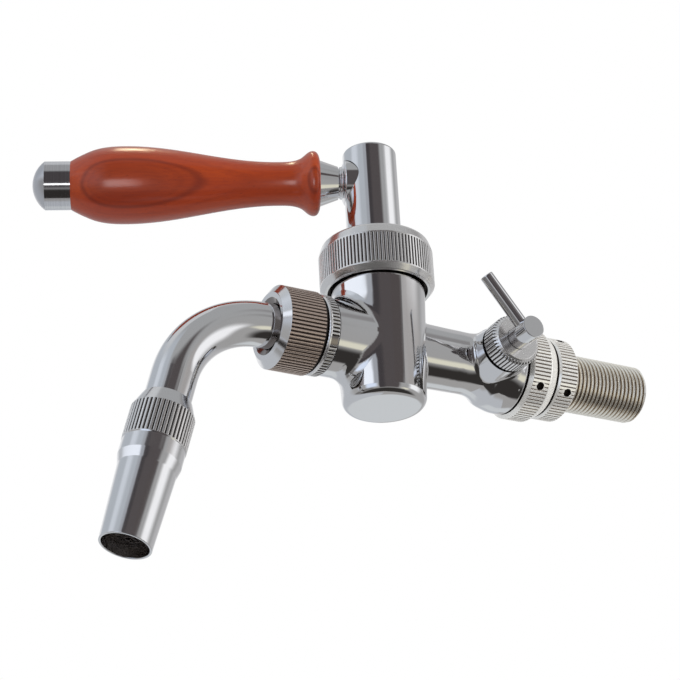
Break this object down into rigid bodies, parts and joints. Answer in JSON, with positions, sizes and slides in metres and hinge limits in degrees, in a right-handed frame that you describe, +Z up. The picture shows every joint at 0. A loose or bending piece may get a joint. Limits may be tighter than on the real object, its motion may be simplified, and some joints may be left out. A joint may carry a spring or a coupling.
{
  "type": "side pull beer faucet",
  "caption": "Side pull beer faucet with a wooden swing handle, ball valve, side flow-control lever, bent spout with a screw-on nozzle, and a threaded wall shank.",
  "frame": {"origin": "on the flow axis at the start of the shank's free thread, 0.3 mm behind the lock ring's back face", "axes": "+Z up along the barrel, +Y along the flow axis from the valve to the wall shank, +X towards the flow-control lever"},
  "size_m": [0.1, 0.2389, 0.1855],
  "materials": {
    "polished_chrome": "mirror-polished metal",
    "knurled_chrome": "bright metal with straight knurls",
    "shank_metal": "turned metal with a cut thread",
    "seat_plastic": "white bearing plastic",
    "seal_rubber": "black rubber",
    "grip_wood": "lacquered reddish wood",
    "mesh_metal": "perforated metal disc",
    "inner_steel": "plain turned metal",
    "cone_plastic": "smooth white plastic"
  },
  "bodies": {
    "faucet": {"valve_body": "polished_chrome", "seat_front": "seat_plastic", "seat_rear": "seat_plastic", "stop_pin": "inner_steel", "bonnet_bush": "seat_plastic", "bonnet_nut": "knurled_chrome", "spout_tube": "polished_chrome", "spout_seal": "seal_rubber", "nozzle_seal": "seal_rubber", "gland_nut": "knurled_chrome", "gland_seal": "seal_rubber", "coupling_nut": "knurled_chrome", "shank": "shank_metal", "shank_seal": "seal_rubber"},
    "handle": {"ball": "inner_steel", "stem": "polished_chrome", "stem_seal": "seal_rubber", "handle_socket": "polished_chrome", "handle_stud": "inner_steel", "ferrule": "polished_chrome", "grip": "grip_wood", "end_cap": "polished_chrome"},
    "lever": {"spindle": "inner_steel", "lever_barrel": "polished_chrome", "lever_rod": "polished_chrome"},
    "compensator": {"compensator_cone": "cone_plastic"},
    "union": {"spout_nut": "knurled_chrome"},
    "jam_ring": {"outlet_ring": "knurled_chrome"},
    "wall_ring": {"lock_ring": "knurled_chrome"},
    "nozzle": {"nozzle_sleeve": "knurled_chrome", "screen_top": "mesh_metal", "screen_bottom": "mesh_metal"}
  },
  "joints": [
    {"name": "handle_turn", "type": "hinge", "parent": "faucet", "child": "handle", "pos_m": [0, -0.0802, 0], "axis": [0, 0, 1], "range_deg": [-65.7, 24.3]},
    {"name": "lever_turn", "type": "hinge", "parent": "faucet", "child": "lever", "pos_m": [0, -0.0355, 0], "axis": [1, 0, 0], "range_deg": [-83, 7]},
    {"name": "cone_slide", "type": "slide", "parent": "faucet", "child": "compensator", "axis": [0, 1, 0], "range_m": [-0.0003, 0.0033]},
    {"name": "union_turn", "type": "hinge", "parent": "faucet", "child": "union", "pos_m": [0, -0.1202, 0], "axis": [0, 1, 0], "continuous": true},
    {"name": "jam_ring_turn", "type": "hinge", "parent": "faucet", "child": "jam_ring", "pos_m": [0, -0.108, 0], "axis": [0, 1, 0], "continuous": true},
    {"name": "nozzle_turn", "type": "hinge", "parent": "faucet", "child": "nozzle", "pos_m": [0, -0.1778, -0.06606], "axis": [0, -0.274, -0.9617], "continuous": true},
    {"name": "wall_ring_slide", "type": "slide", "parent": "faucet", "child": "wall_ring", "axis": [0, 1, 0], "range_m": [0, 0.028]}
  ],
  "couplings": [
    {"joint": "cone_slide", "follows": "lever_turn", "m_per_rad": -0.00225}
  ]
}
